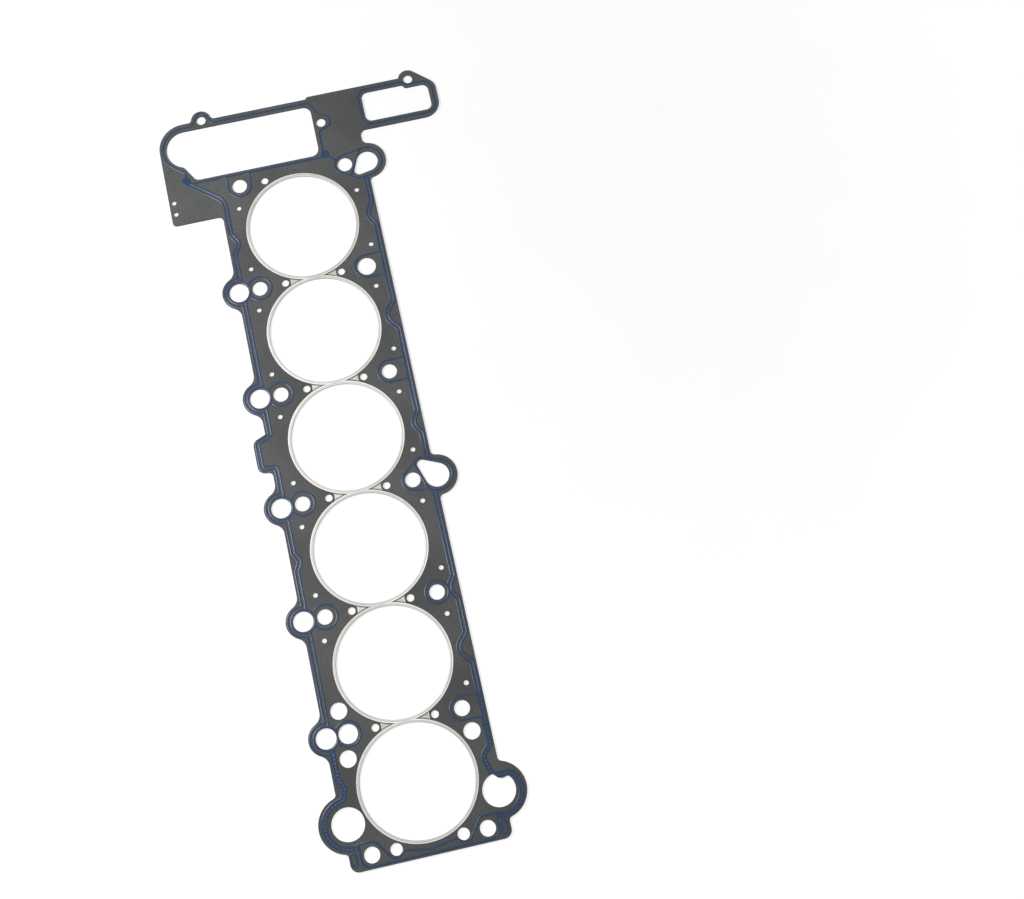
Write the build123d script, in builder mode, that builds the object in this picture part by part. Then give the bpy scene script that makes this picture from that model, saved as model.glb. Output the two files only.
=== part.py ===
import os
from math import atan2, cos, degrees, radians, sin

from build123d import *

# A composite cylinder head gasket for a six-cylinder in-line engine with a timing case at its front end.
# Millimetres. The origin is on the axis of cylinder 1, at the underside of the fire rings.
# +Y points to the timing case, the cylinders follow one another towards -Y, and +Z is the head side.

# Cylinders
cylinder_count = 6
bore_radius = 43.5
bridge_width = 4.0

# Thicknesses, from the engine block up
ring_metal = 0.25
sheet_thickness = 1.6
bead_height = 0.2

# Fire rings, folded round the sheet's bore edges
flange_reach = 2.8
nose_metal = 0.5
nose_chamfer_width = 0.7
nose_chamfer_height = 0.45
ring_seat_clearance = 0.15
ring_to_ring_clearance = 0.1

# Bridge plates between neighbouring bores
bridge_window_half_length = 18.7
bridge_plate_clearance = 0.4

# Engine block face
block_margin = 18.8
rear_overhang = 55.8
tail_inset = 0.9
tail_corner_radius = 6.5

# Head bolts, with a dowel sleeve round two of them
bolt_row_margin = 0.6
bolt_hole_radius = 6.05
dowel_hole_radius = 7.45
right_dowel_row = 1
left_dowel_row = 5

# Coolant holes and vents, measured from the bolt rows
bridge_coolant_inset = 21.0
bridge_coolant_radius = 2.95
rear_coolant_inset = 18.5
rear_coolant_radius = 4.6
side_coolant_margin = 3.7
side_coolant_offset = 18.3
side_coolant_radius = 6.5
vent_radius = 1.9
vent_offset = 18.0
left_vent_margin = 4.0
right_front_vent_margin = 7.2
right_rear_vent_margin = 4.1
wide_vent_offset = 24.0
wide_vent_inset = 13.1
front_left_vent_offset = 19.2
flap_vent_reach = 36.9
flap_vent_fall = 3.2
flap_vent_pitch = 10.0

# Oil-return holes and their lobes on the left edge
oil_hole_inset = 1.2
oil_hole_radius = 7.95
oil_lobe_wall = 5.65
oil_lobe_flare = 9.0

# Rear oil passages and their lobes
passage_radius = 12.7
passage_drop = 20.0
passage_wall = 9.1
left_passage_inset = 5.1
right_passage_inset = 3.9
passage_land_radius = 6.5
passage_land_inset = 0.7
passage_land_rise = 14.6
passage_land_fillet = 2.5
passage_flare = 3.0

# Front teardrop passage, beside the first bolt row
front_drop_radius = 8.8
front_drop_reach = 0.3
front_drop_fall = 1.0
front_drop_tip_radius = 4.0
front_drop_tip_inset = 7.5
front_drop_tip_fall = 7.3
front_lobe_radius = 15.3
front_lobe_reach = 0.8
front_lobe_fall = 0.3

# Middle teardrop passage, beside the fourth bolt row
middle_drop_radius = 9.8
middle_drop_reach = 1.2
middle_drop_tip_radius = 3.8
middle_drop_tip_inset = 8.6
middle_drop_tip_rise = 10.8
middle_drop_wall = 6.5
drop_flare = 3.5

# Bulge of the left edge beside cylinder 3
bulge_reach = 10.8
bulge_front = 11.5
bulge_shoulder = 6.0
bulge_rear = 15.0
bulge_corner_radius = 6.0
bulge_flare = 4.0
bulge_cylinder = 2

# Timing case flange at the front end, measured from the block's sides and from the first bolt row
case_left_reach = 40.9
case_left_fall = 23.2
case_left_corner_radius = 22.0
case_flap_corner_radius = 3.0
case_flap_inner_radius = 4.0
case_edge_rise = 64.2
case_step_rise = 1.9
case_step_inset = 39.3
case_step_radius = 3.0

# Right-hand arm of the timing case flange
arm_reach = 69.7
arm_rear_rise = 27.0
arm_rear_corner_radius = 14.0
arm_front_corner_radius = 10.0
arm_front_corner_rise = 51.5
notch_radius = 4.5

# Timing case screw holes and their tabs
case_hole_radius = 3.8
left_case_hole_reach = 2.5
left_case_hole_rise = 64.3
left_tab_wall = 4.5
inner_case_hole_inset = 30.3
inner_case_hole_rise = 41.0
right_case_hole_reach = 48.1
right_case_hole_rise = 63.8
right_tab_wall = 4.3
tab_flare = 3.0

# Large timing case window
window_front_wall = 6.5
window_rear_rise = 12.8
window_right_inset = 36.8
window_corner_radius = 6.5
window_round_radius = 16.1
window_round_reach = 19.2
window_slant_width = 8.4
window_slant_rise = 14.0
window_slant_reach = 15.6
window_slant_radius = 5.0
window_waist_radius = 3.0

# Right-hand timing case window
arm_window_inner_reach = 7.0
arm_window_wall = 6.7
arm_window_front_wall = 6.4
arm_window_rear_wall = 6.5
arm_window_step_depth = 3.1
arm_window_step_reach = 44.0
arm_window_step_slant = 1.4
arm_window_corner_radius = 5.0
arm_window_step_radius = 2.5

# Elastomer sealing beads, printed on the sheet: one line, or a double line along the sides
bead_width = 1.6
bead_spacing = 2.8
bead_edge_margin = 0.1
line_bend_radius = 3.0

# Rungs that turn the rear ends of the double lines into ladders
rung_pitch = 3.0
rung_width = 1.7
left_ladder_rise = 34.0
right_ladder_rise = 52.0

# Left double line: (distance behind cylinder 1, half length, depth at the corner) of its bumps towards a bore
left_line_inset = 3.8
left_line_front_fall = 9.9
line_front_bend_radius = 12.0
left_front_bump = (4.0, 8.8, 5.5)
left_middle_bump = (272.0, 7.5, 3.9)
bump_nose_radius = 5.0
bulge_bead_wall = 3.25
rear_bump_rise = 14.5
left_rear_bump_depth = 3.7
left_rear_loop_wall = 5.3
left_rear_loop_start = 105.0
left_rear_loop_lead = 4.6
left_rear_loop_sweep = 180.0

# Right double lines, in front of the middle teardrop and behind it
right_line_inset = 3.3
right_front_bumps = [(1.7, 9.8, 5.7), (91.0, 11.5, 9.3), (182.5, 9.0, 6.1)]
right_rear_bumps = [(317.5, 9.0, 6.1), (365.0, 11.5, 9.8)]
wide_bump_nose_radius = 8.0
right_rear_bump_depth = 7.1
right_rear_bend_inset = 3.5
right_rear_bend_radius = 6.5
right_rear_loop_wall = 4.3
right_rear_loop_drop = 1.2
right_rear_loop_start = 40.0
right_rear_loop_lead = 2.05
right_rear_loop_sweep = -150.0

# Loops of a single line, by their clearance from the hole; rows are counted from the timing case, from 0
drawn_out_rows = (2, 5)
round_loop_row = 4
oil_loop_margin = 1.3
oil_outer_loop_margin = 4.1
oil_loop_side_reach = 13.0
bolt_loop_margin = 3.65
open_loop_margin = 3.05
front_bolt_loop_margin = 3.3
dowel_loop_margin = 2.15
drop_loop_margin = 2.1
front_bolt_loop_shift = 0.25
front_bolt_loop_flat = 0.02
front_loop_wall = 3.4
front_loop_tip_wall = 3.2
middle_loop_wall = 2.7
middle_loop_tip_wall = 1.5

# Dividers of the two teardrop loops and the link to the front one, measured from the bolt beside them
front_divider = [(14.1, 9.4), (8.6, -0.85), (3.1, -11.1)]
middle_divider = [(3.7, 12.5), (7.4, 1.0), (11.4, -11.5)]
blob_link = [(-12.6, 11.0), (-9.35, 8.0), (-6.1, 5.0)]
divider_radius = 5.0

# Large window line, with one peak over the left screw hole and one bend round the inner screw hole
window_bead_wall = 2.8
window_bead_rear_wall = 2.6
window_bead_corner_radius = 6.0
blob_radius = 3.5
left_blob_reach = 23.7
left_blob_rise = 13.3
right_blob_inset = 32.3
right_blob_rise = 12.5
left_turn_start = 231.6
left_turn_lead = 10.2
screw_peak_half_width = 8.2
screw_peak_rise = 13.9
screw_peak_nose_radius = 3.7
screw_peak_foot_radius = 4.0
screw_bend_reach = 7.4
screw_bend_half_length = 3.8
screw_bend_radius = 3.5
screw_bend_top_shift = 1.0
screw_bend_foot_shift = 3.1

# Rear lines: an upper one that dips beside both coolant holes, and a lower one along the edge
rear_line_half_width = 52.5
rear_upper_rise = 9.6
rear_upper_corner_inset = 3.8
rear_dip_inset = 16.5
rear_dip_fall = 8.3
rear_dip_radius = 5.0
rear_crest_inset = 24.5
rear_crest_fall = 1.9
rear_crest_radius = 2.5
rear_middle_fall = 5.4
rear_middle_radius = 20.0
rear_edge_margin = 2.1
rear_edge_radius = 6.0

# Case window bead
case_bead_front_wall = 2.7
case_bead_rear_wall = 2.7
case_bead_side_wall = 3.4
case_bead_inner_radius = 7.0
case_bead_outer_radius = 8.0
case_bead_step_inset = 1.9
case_bead_step_slant = 4.0

# Corner beads in the rear corners
corner_bead_half_width = 2.1
corner_bead_front_rise = 3.6
corner_bead_short_fall = 3.7
corner_bead_long_fall = 7.9
corner_bead_left_inset = 4.25
corner_bead_right_inset = 5.8
corner_bead_radius = 1.2
corner_bead_slant_radius = 3.5

# Worked out from the sizes above
bore_pitch = 2 * bore_radius + bridge_width
half_pitch = bore_pitch / 2
first_row = half_pitch
cylinder_spots = [(0, -bore_pitch * index) for index in range(cylinder_count)]
bridge_spots = [(0, -half_pitch - bore_pitch * index) for index in range(cylinder_count - 1)]
last_bore = cylinder_spots[-1][1]
block_half_width = bore_radius + block_margin
block_rear = last_bore - rear_overhang
bolt_x = bore_radius + bolt_row_margin
sheet_base = ring_metal
sheet_top = sheet_base + sheet_thickness
ring_height = sheet_thickness + 2 * ring_metal
flange_radius = bore_radius + flange_reach
slot_radius = bore_radius + nose_metal
sheet_bore_radius = slot_radius + ring_seat_clearance
oil_x = -block_half_width + oil_hole_inset
case_front = first_row + case_edge_rise
step_front = case_front + case_step_rise


def row_y(row):
    """Height up the page of a bolt row, counted from the timing case."""
    return first_row - bore_pitch * row


bolt_rows = range(cylinder_count + 1)
inner_rows = range(1, cylinder_count)
vented_rows = range(1, cylinder_count - 1)
last_row = row_y(cylinder_count)
left_case_hole = (-block_half_width - left_case_hole_reach, first_row + left_case_hole_rise)
inner_case_hole = (block_half_width - inner_case_hole_inset, first_row + inner_case_hole_rise)
right_case_hole = (block_half_width + right_case_hole_reach, first_row + right_case_hole_rise)
front_drop = [
    (block_half_width + front_drop_reach, first_row - front_drop_fall, front_drop_radius),
    (block_half_width - front_drop_tip_inset, first_row - front_drop_tip_fall, front_drop_tip_radius),
]
middle_row = 3
middle_drop_tip = (block_half_width - middle_drop_tip_inset, row_y(middle_row) + middle_drop_tip_rise)
middle_drop = [
    (block_half_width + middle_drop_reach, row_y(middle_row), middle_drop_radius),
    (*middle_drop_tip, middle_drop_tip_radius),
]
left_passage = (-block_half_width + left_passage_inset, last_bore - passage_drop)
right_passage = (block_half_width - right_passage_inset, last_bore - passage_drop)
passage_land = (block_half_width + passage_land_inset, right_passage[1] + passage_land_rise)


def hull_round(circles, margin=0.0):
    """Convex face round circles given as (x, y, radius), each grown by a margin."""
    with BuildSketch() as hull:
        for x, y, radius in circles:
            with Locations((x, y)):
                Circle(radius + margin)
        make_hull()
    return hull.sketch


def ribbon(points, radii, width):
    """Flat strip of a given width along straight runs with rounded corners."""
    with BuildSketch() as strip:
        with BuildLine():
            FilletPolyline(*points, radius=radii)
        trace(line_width=width)
    return strip.sketch


def rounded_polygon(points, radii):
    """Closed face with one fillet radius for each corner."""
    with BuildSketch() as face:
        with BuildLine():
            FilletPolyline(*points, radius=radii, close=True)
        make_face()
    return face.sketch


def corners_near(sketch, spots, reach=1.0):
    """Vertices of a sketch that lie within reach of any of the spots."""
    return [
        vertex
        for vertex in sketch.vertices()
        if any((Vector(vertex.X, vertex.Y) - Vector(*spot)).length < reach for spot in spots)
    ]


def side_crossings(circle, side_x):
    """Both points where a circle given as (x, y, radius) crosses a line of constant x."""
    x, y, radius = circle
    half_chord = (radius**2 - (side_x - x) ** 2) ** 0.5
    return [(side_x, y - half_chord), (side_x, y + half_chord)]


# Outline of the sheet
oil_lobes = [(oil_x, row_y(row), oil_hole_radius + oil_lobe_wall) for row in inner_rows]
rear_lobe_x = block_half_width - (left_passage_inset + right_passage_inset) / 2
rear_lobes = [(side * rear_lobe_x, left_passage[1], passage_radius + passage_wall) for side in (-1, 1)]
front_lobe = (block_half_width + front_lobe_reach, first_row - front_lobe_fall, front_lobe_radius)
middle_lobe = (middle_drop[0][0], middle_drop[0][1], middle_drop_radius + middle_drop_wall)
bulge_y = cylinder_spots[bulge_cylinder][1]
bulge = rounded_polygon(
    [
        (-bore_radius, bulge_y + bulge_front + 2 * bulge_shoulder),
        (-block_half_width - bulge_reach, bulge_y + bulge_front),
        (-block_half_width - bulge_reach, bulge_y - bulge_rear),
        (-bore_radius, bulge_y - bulge_rear),
    ],
    [0, bulge_corner_radius, bulge_corner_radius, 0],
)
arm_rear = first_row + arm_rear_rise
arm_corner_x = block_half_width + arm_reach - arm_rear_corner_radius
arm_end = hull_round(
    [
        (*right_case_hole, case_hole_radius + right_tab_wall),
        (
            block_half_width + arm_reach - arm_front_corner_radius,
            first_row + arm_front_corner_rise,
            arm_front_corner_radius,
        ),
        (arm_corner_x, arm_rear + arm_rear_corner_radius, arm_rear_corner_radius),
    ]
)
case_flap = rounded_polygon(
    [
        (-block_half_width - case_left_reach, first_row - case_left_fall),
        (-block_half_width - case_left_reach, case_front),
        (0, case_front),
        (0, first_row - case_left_fall),
    ],
    [case_flap_corner_radius, case_left_corner_radius, 0, 0],
)
step_x = block_half_width - case_step_inset
case_arm = rounded_polygon(
    [
        (step_x, case_front - window_front_wall),
        (step_x, step_front),
        (arm_corner_x, step_front),
        (arm_corner_x, arm_rear),
        (block_half_width - window_front_wall, arm_rear),
    ],
    [0, case_step_radius, 0, 0, 0],
)

with BuildSketch() as outline:
    with Locations((0, (case_front + left_passage[1]) / 2)):
        Rectangle(2 * block_half_width, case_front - left_passage[1])
    for x, y, radius in oil_lobes:
        with Locations((x, y)):
            Circle(radius)
    oil_corners = [spot for lobe in oil_lobes for spot in side_crossings(lobe, -block_half_width)]
    fillet(corners_near(outline, oil_corners), oil_lobe_flare)
    for x, y, radius in [*rear_lobes, front_lobe, middle_lobe]:
        with Locations((x, y)):
            Circle(radius)
    with Locations((0, (left_passage[1] + block_rear) / 2)):
        Rectangle(2 * (block_half_width - tail_inset), left_passage[1] - block_rear)
    add(bulge)
    add(case_flap)
    add(arm_end)
    add(case_arm)
    with Locations(left_case_hole):
        Circle(case_hole_radius + left_tab_wall)
    left_tab = (left_case_hole[1], left_case_hole[0], case_hole_radius + left_tab_wall)
    tab_corners = [(x, y) for y, x in side_crossings(left_tab, case_front)]
    fillet(corners_near(outline, tab_corners), tab_flare)
    outline_corners = [
        (side_crossings(rear_lobes[0], -block_half_width)[1], passage_flare),
        (side_crossings(rear_lobes[1], block_half_width)[1], passage_flare),
        (side_crossings(rear_lobes[0], -block_half_width + tail_inset)[0], passage_flare),
        (side_crossings(rear_lobes[1], block_half_width - tail_inset)[0], passage_flare),
        (side_crossings(middle_lobe, block_half_width)[0], drop_flare),
        (side_crossings(middle_lobe, block_half_width)[1], drop_flare),
        (side_crossings(front_lobe, block_half_width)[0], drop_flare),
        (side_crossings(front_lobe, block_half_width)[1], notch_radius),
        ((block_half_width, arm_rear), notch_radius),
        ((-block_half_width, first_row - case_left_fall), case_flap_inner_radius),
        ((-block_half_width, bulge_y - bulge_rear), bulge_flare),
        ((-block_half_width + tail_inset, block_rear), tail_corner_radius),
        ((block_half_width - tail_inset, block_rear), tail_corner_radius),
    ]
    for spot, radius in outline_corners:
        fillet(corners_near(outline, [spot]), radius)

# Openings cut through the sheet
front_drop_hole = hull_round(front_drop)
middle_drop_hole = hull_round(middle_drop)
window_rear = first_row + window_rear_rise
window_front = case_front - window_front_wall
window_right = block_half_width - window_right_inset
window_round = (-block_half_width - window_round_reach, window_front - window_round_radius)
window_slant_x = -block_half_width - window_slant_reach
window_body = rounded_polygon(
    [
        (window_right, window_front),
        (window_right, window_rear),
        (window_slant_x, window_rear),
        (window_slant_x - window_slant_width, window_rear + window_slant_rise),
        (window_round[0], window_front),
    ],
    [window_corner_radius, window_corner_radius, window_slant_radius, 0, 0],
)
arm_inner = block_half_width + arm_window_inner_reach
arm_outer = block_half_width + arm_reach - arm_window_wall
arm_low = arm_rear + arm_window_rear_wall
arm_high = step_front - arm_window_front_wall
arm_step_x = block_half_width + arm_window_step_reach
arm_window = rounded_polygon(
    [
        (arm_inner, arm_high),
        (arm_inner, arm_low),
        (arm_outer, arm_low),
        (arm_outer, arm_high - arm_window_step_depth),
        (arm_step_x, arm_high - arm_window_step_depth),
        (arm_step_x - arm_window_step_slant, arm_high),
    ],
    [
        arm_window_corner_radius,
        arm_window_corner_radius,
        arm_window_corner_radius,
        arm_window_corner_radius,
        arm_window_step_radius,
        arm_window_step_radius,
    ],
)

with BuildSketch() as case_window:
    add(window_body)
    with Locations(window_round[:2]):
        Circle(window_round_radius)
    waist = [
        vertex
        for vertex in case_window.vertices()
        if vertex.X < window_slant_x and window_rear < vertex.Y < window_round[1]
    ]
    fillet(waist, window_waist_radius)

with BuildSketch() as right_passage_hole:
    with Locations(right_passage):
        Circle(passage_radius)
    with Locations(passage_land):
        Circle(passage_land_radius, mode=Mode.SUBTRACT)
    fillet(right_passage_hole.vertices(), passage_land_fillet)

passage_openings = [front_drop_hole, middle_drop_hole, right_passage_hole.sketch]

left_vent_x = -bolt_x - left_vent_margin
vent_spots = [
    (left_vent_x, first_row - front_left_vent_offset),
    (block_half_width - wide_vent_inset, first_row - wide_vent_offset),
    (block_half_width - wide_vent_inset, row_y(middle_row) + wide_vent_offset),
    (-block_half_width - flap_vent_reach, first_row - flap_vent_fall),
    (-block_half_width - flap_vent_reach, first_row - flap_vent_fall - flap_vent_pitch),
]
vent_spots += [(left_vent_x, row_y(row) + side * vent_offset) for row in vented_rows for side in (-1, 1)]
vent_spots += [(bolt_x + right_rear_vent_margin, row_y(row) - vent_offset) for row in vented_rows]
single_rows = [row for row in inner_rows if row != middle_row]
vent_spots += [(bolt_x + right_front_vent_margin, row_y(row) + vent_offset) for row in single_rows]

dowel_spots = [(bolt_x, row_y(right_dowel_row)), (-bolt_x, row_y(left_dowel_row))]
bolt_spots = [(side * bolt_x, row_y(row)) for row in bolt_rows for side in (-1, 1)]
bolt_spots = [spot for spot in bolt_spots if spot not in dowel_spots]
bridge_coolant_x = bolt_x - bridge_coolant_inset
bridge_coolant_spots = [(side * bridge_coolant_x, row_y(row)) for row in inner_rows for side in (-1, 1)]
bridge_coolant_spots += [(-bridge_coolant_x, first_row)]
rear_coolant_x = bolt_x - rear_coolant_inset
rear_coolant_spots = [(side * rear_coolant_x, last_row) for side in (-1, 1)]
side_coolant_x = bolt_x + side_coolant_margin
side_coolant_spots = [
    (-side_coolant_x, row_y(left_dowel_row) + side_coolant_offset),
    (-side_coolant_x, row_y(left_dowel_row) - side_coolant_offset),
    (side_coolant_x, row_y(left_dowel_row) - side_coolant_offset),
]
round_holes = [
    (bolt_spots, bolt_hole_radius),
    (dowel_spots, dowel_hole_radius),
    (bridge_coolant_spots, bridge_coolant_radius),
    (rear_coolant_spots, rear_coolant_radius),
    (side_coolant_spots, side_coolant_radius),
    (vent_spots, vent_radius),
    ([(oil_x, row_y(row)) for row in inner_rows], oil_hole_radius),
    ([left_passage], passage_radius),
    ([left_case_hole, inner_case_hole, right_case_hole], case_hole_radius),
    (cylinder_spots, sheet_bore_radius),
]

# Gasket sheet: facing and core, rolled together and punched
with BuildPart() as gasket_sheet:
    with BuildSketch(Plane.XY.offset(sheet_base)) as sheet_face:
        add(outline.sketch)
        for spots, radius in round_holes:
            with Locations(*spots):
                Circle(radius, mode=Mode.SUBTRACT)
        with Locations(*bridge_spots):
            Rectangle(2 * bridge_window_half_length, bore_pitch, mode=Mode.SUBTRACT)
        for opening in passage_openings + [case_window.sketch, arm_window]:
            add(opening, mode=Mode.SUBTRACT)
    extrude(amount=sheet_thickness)
gasket_sheet.part.label = "gasket_sheet"

# Bridge plates: bow-tie steel plates, their waists gripped in the slots of two rings
bridge_plates = []
for number, (x, y) in enumerate(bridge_spots, start=1):
    with BuildPart() as bridge_plate:
        with BuildSketch(Plane.XY.offset(sheet_base)):
            with Locations((x, y)):
                Rectangle(2 * (bridge_window_half_length - bridge_plate_clearance), bore_pitch)
            with Locations((x, y - half_pitch), (x, y + half_pitch)):
                Circle(sheet_bore_radius, mode=Mode.SUBTRACT)
        extrude(amount=sheet_thickness)
    bridge_plate.part.label = f"bridge_plate_{number}"
    bridge_plates.append(bridge_plate.part)

# Fire rings: U-section sheet folded round the bore edge, trimmed flat where two rings meet
trim_reach = half_pitch - ring_to_ring_clearance / 2
ring_section = [
    (flange_radius, 0),
    (bore_radius + nose_chamfer_width, 0),
    (bore_radius, nose_chamfer_height),
    (bore_radius, ring_height - nose_chamfer_height),
    (bore_radius + nose_chamfer_width, ring_height),
    (flange_radius, ring_height),
    (flange_radius, ring_height - ring_metal),
    (slot_radius, ring_height - ring_metal),
    (slot_radius, ring_metal),
    (flange_radius, ring_metal),
]
fire_rings = []
for number, (x, y) in enumerate(cylinder_spots, start=1):
    front_reach = flange_radius if number == 1 else trim_reach
    rear_reach = flange_radius if number == cylinder_count else trim_reach
    with BuildPart() as fire_ring:
        with BuildSketch(Plane.XZ.offset(-y)):
            with BuildLine():
                Polyline(*ring_section, close=True)
            make_face()
        revolve(axis=Axis((x, y, 0), (0, 0, 1)))
        with Locations((x, y + (front_reach - rear_reach) / 2, ring_height / 2)):
            Box(2 * flange_radius, front_reach + rear_reach, ring_height, mode=Mode.INTERSECT)
    fire_ring.part.label = f"fire_ring_{number}"
    fire_rings.append(fire_ring.part)


def bump_points(line_x, bump, side):
    """Three corners of a bump in a line of constant x, given as (place, half length, depth)."""
    spot, half_length, depth = bump
    return [(line_x, half_length - spot), (line_x + side * depth, -spot), (line_x, -half_length - spot)]


def arc_point(centre, radius, angle):
    """Point on a circle at an angle in degrees."""
    return (centre[0] + radius * cos(radians(angle)), centre[1] + radius * sin(radians(angle)))


def tangent_back(centre, radius, angle, length, turn):
    """Point a length before the circle's point at an angle, for a turn of +1 or -1."""
    x, y = arc_point(centre, radius, angle)
    return (x + turn * length * sin(radians(angle)), y - turn * length * cos(radians(angle)))


def rounded_run(points, radii, circle=None, start=0.0, sweep=0.0):
    """Line along rounded straight runs, which may end in an arc of a circle given as (x, y, radius)."""
    with BuildLine() as run:
        FilletPolyline(*points, radius=radii)
        if circle:
            CenterArc(circle[:2], circle[2], start, sweep)
    return run.wire()


def looped_bead(circles, margins):
    """Closed bead round circles given as (x, y, radius), its centre line at a margin from each."""
    grown = [(x, y, radius + margin) for (x, y, radius), margin in zip(circles, margins)]
    return hull_round(grown, bead_width / 2) - hull_round(grown, -bead_width / 2)


def closed_bead(points, radii):
    """Closed bead along straight runs with rounded corners."""
    with BuildSketch() as bead:
        with BuildLine():
            FilletPolyline(*points, radius=radii, close=True)
        trace(line_width=bead_width)
    return bead.sketch


# Left double line, from the large window to the left rear passage
left_line = -block_half_width + left_line_inset
left_blob = (-block_half_width - left_blob_reach, first_row + left_blob_rise)
bulge_line = -block_half_width - bulge_reach + bulge_bead_wall
bulge_turn = bulge_y + bulge_front - bulge_bead_wall / 2
bulge_return = bulge_y - bulge_rear + bulge_bead_wall
left_rear_loop = (*left_passage, passage_radius + left_rear_loop_wall)
left_points = [
    (left_blob[0], left_blob[1] - bead_width),
    (left_line, first_row - left_line_front_fall),
    *bump_points(left_line, left_front_bump, 1),
    (left_line, bulge_turn + bulge_shoulder - bulge_bead_wall / 2),
    (bulge_line, bulge_turn),
    (bulge_line, bulge_return),
    (left_line, bulge_return),
    *bump_points(left_line, left_middle_bump, 1),
    (left_line, last_bore + rear_bump_rise),
    (left_line + left_rear_bump_depth, last_bore + rear_bump_rise / 2),
    tangent_back(left_rear_loop[:2], left_rear_loop[2], left_rear_loop_start, left_rear_loop_lead, 1),
    arc_point(left_rear_loop[:2], left_rear_loop[2], left_rear_loop_start),
]
left_radii = [line_bend_radius for point in left_points[1:-1]]
left_radii[0] = line_front_bend_radius
for corner in (2, 9, 12):
    left_radii[corner] = bump_nose_radius

# Right double lines, in front of the middle teardrop and from there to the right rear passage
right_line = block_half_width - right_line_inset
right_rear_loop = (
    right_passage[0],
    right_passage[1] - right_rear_loop_drop,
    passage_radius + right_rear_loop_wall,
)
right_front_points = [(right_line, front_drop[1][1] - front_drop_tip_radius - front_loop_tip_wall)]
right_front_radii = []
for bump in right_front_bumps:
    right_front_points += bump_points(right_line, bump, -1)
    right_front_radii += [line_bend_radius, wide_bump_nose_radius, line_bend_radius]
right_front_points += [(right_line, middle_drop[1][1] + middle_drop_tip_radius)]
right_rear_points = [(right_line, middle_drop[0][1] - middle_drop_radius - middle_loop_wall)]
right_rear_radii = []
for bump in right_rear_bumps:
    right_rear_points += bump_points(right_line, bump, -1)
    right_rear_radii += [line_bend_radius, wide_bump_nose_radius, line_bend_radius]
right_rear_centre = right_rear_loop[:2]
right_rear_lead = tangent_back(
    right_rear_centre, right_rear_loop[2], right_rear_loop_start, right_rear_loop_lead, -1
)
right_rear_points += [
    (right_line, last_bore + rear_bump_rise),
    (right_line - right_rear_bump_depth, last_bore + rear_bump_rise / 2),
    (right_line - right_rear_bend_inset, right_rear_lead[1]),
    right_rear_lead,
    arc_point(right_rear_centre, right_rear_loop[2], right_rear_loop_start),
]
right_rear_radii += [line_bend_radius, right_rear_bend_radius, right_rear_bend_radius, line_bend_radius]
double_runs = [
    rounded_run(left_points, left_radii, left_rear_loop, left_rear_loop_start, left_rear_loop_sweep),
    rounded_run(right_front_points, right_front_radii),
    rounded_run(
        right_rear_points,
        right_rear_radii,
        right_rear_loop,
        right_rear_loop_start,
        right_rear_loop_sweep,
    ),
]

# The front right line has no ladder, so its ladder would start behind the whole block
ladder_starts = [last_bore + left_ladder_rise, block_rear, last_bore + right_ladder_rise]
groove_width = bead_spacing - bead_width
groove_reach = 4 * block_half_width


def groove(run, ladder_start):
    """Space between the lines of a double bead, in the ladder only the windows between its rungs."""
    window_spots = [rung_pitch * (index + 0.5) for index in range(int(run.length / rung_pitch))]
    with BuildSketch() as space:
        trace(run, line_width=groove_width)
        with Locations((0, ladder_start)):
            Rectangle(
                groove_reach,
                case_front - ladder_start,
                align=(Align.CENTER, Align.MIN),
                mode=Mode.INTERSECT,
            )
        for distance in window_spots:
            spot = run.position_at(distance, position_mode=PositionMode.LENGTH)
            heading = run.tangent_at(distance, position_mode=PositionMode.LENGTH)
            if spot.Y < ladder_start:
                with Locations(Location((spot.X, spot.Y, 0), (0, 0, degrees(atan2(heading.Y, heading.X))))):
                    Rectangle(rung_pitch - rung_width, groove_width)
    return space.sketch


# Large window line
right_blob = (block_half_width - right_blob_inset, first_row + right_blob_rise)
window_line_low = window_rear - window_bead_rear_wall
window_line_high = window_front + window_bead_wall
window_turn = (*window_round[:2], window_round_radius + window_bead_wall)
with BuildSketch() as window_line:
    with BuildLine():
        turn_start = arc_point(window_turn[:2], window_turn[2], left_turn_start)
        turn_lead = tangent_back(window_turn[:2], window_turn[2], left_turn_start, left_turn_lead, -1)
        FilletPolyline(left_blob, turn_lead, turn_start, radius=line_bend_radius)
        CenterArc(window_turn[:2], window_turn[2], left_turn_start, 90 - left_turn_start)
        FilletPolyline(
            (window_turn[0], window_line_high),
            (left_case_hole[0] - screw_peak_half_width, window_line_high),
            (left_case_hole[0], window_line_high + screw_peak_rise),
            (left_case_hole[0] + screw_peak_half_width, window_line_high),
            (inner_case_hole[0] - screw_bend_reach, window_line_high),
            (inner_case_hole[0] - screw_bend_top_shift, inner_case_hole[1] + screw_bend_reach),
            (inner_case_hole[0] + screw_bend_reach, inner_case_hole[1] + screw_bend_half_length),
            (inner_case_hole[0] + screw_bend_reach, inner_case_hole[1] - screw_bend_half_length),
            (inner_case_hole[0] - screw_bend_foot_shift, inner_case_hole[1] - screw_bend_reach),
            (inner_case_hole[0] - screw_bend_foot_shift, right_blob[1]),
            radius=[
                screw_peak_foot_radius,
                screw_peak_nose_radius,
                screw_peak_foot_radius,
                window_bead_corner_radius,
                line_bend_radius,
                screw_bend_radius,
                screw_bend_radius,
                line_bend_radius,
            ],
        )
    trace(line_width=bead_width)

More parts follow.
